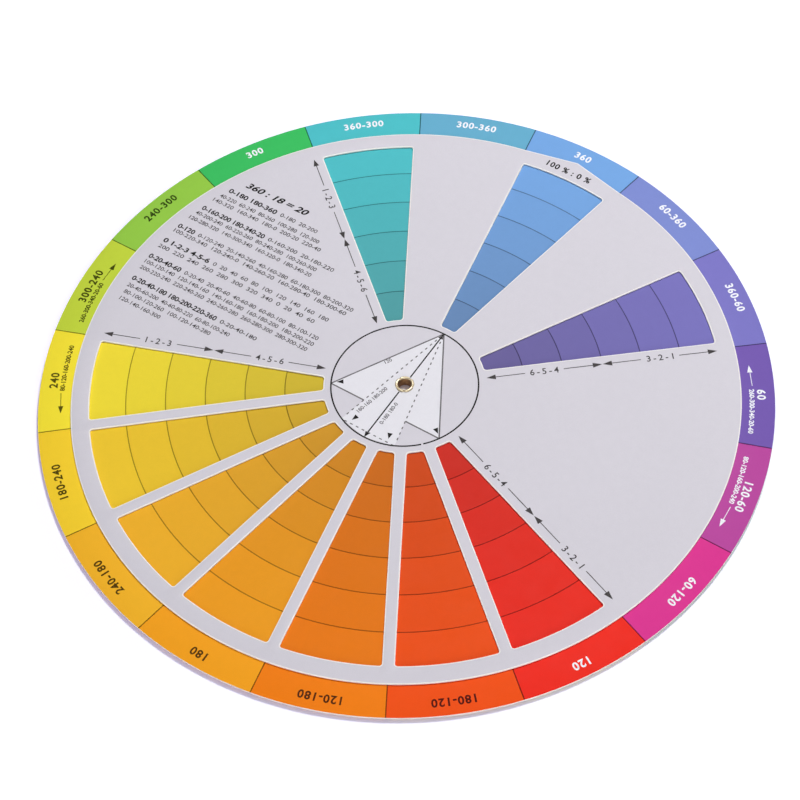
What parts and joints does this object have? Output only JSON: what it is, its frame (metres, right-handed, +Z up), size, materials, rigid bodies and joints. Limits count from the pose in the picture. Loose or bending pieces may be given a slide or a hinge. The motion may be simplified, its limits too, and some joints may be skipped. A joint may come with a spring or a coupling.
{
  "type": "color mixing wheel",
  "caption": "Flat round card color wheel: windowed dials turn on a central brass eyelet over a printed base disc to show how hues relate and mix.",
  "frame": {"origin": "on the eyelet's axis, at the flat underside of its rear flange, which the wheel rests on", "axes": "+Z up out of the front face, +Y towards the key hue, where both dials' pointers stand at rest"},
  "size_m": [0.235, 0.235, 0.0039],
  "materials": {
    "white_card": "coated card, satin, printed both sides",
    "grey_card": "coated card, satin, lavender grey print",
    "pale_grey_card": "coated card, satin, pale grey print",
    "brass": "bright rolled brass"
  },
  "bodies": {
    "base": {"base_disc": "white_card", "eyelet": "brass"},
    "front_dial": {"front_dial": "grey_card"},
    "rear_dial": {"rear_dial": "pale_grey_card"}
  },
  "joints": [
    {"name": "front_dial_turn", "type": "hinge", "parent": "base", "child": "front_dial", "pos_m": [0, 0, 0.0028], "axis": [0, 0, 1], "continuous": true},
    {"name": "rear_dial_turn", "type": "hinge", "parent": "base", "child": "rear_dial", "pos_m": [0, 0, 0.001], "axis": [0, 0, 1], "continuous": true}
  ]
}
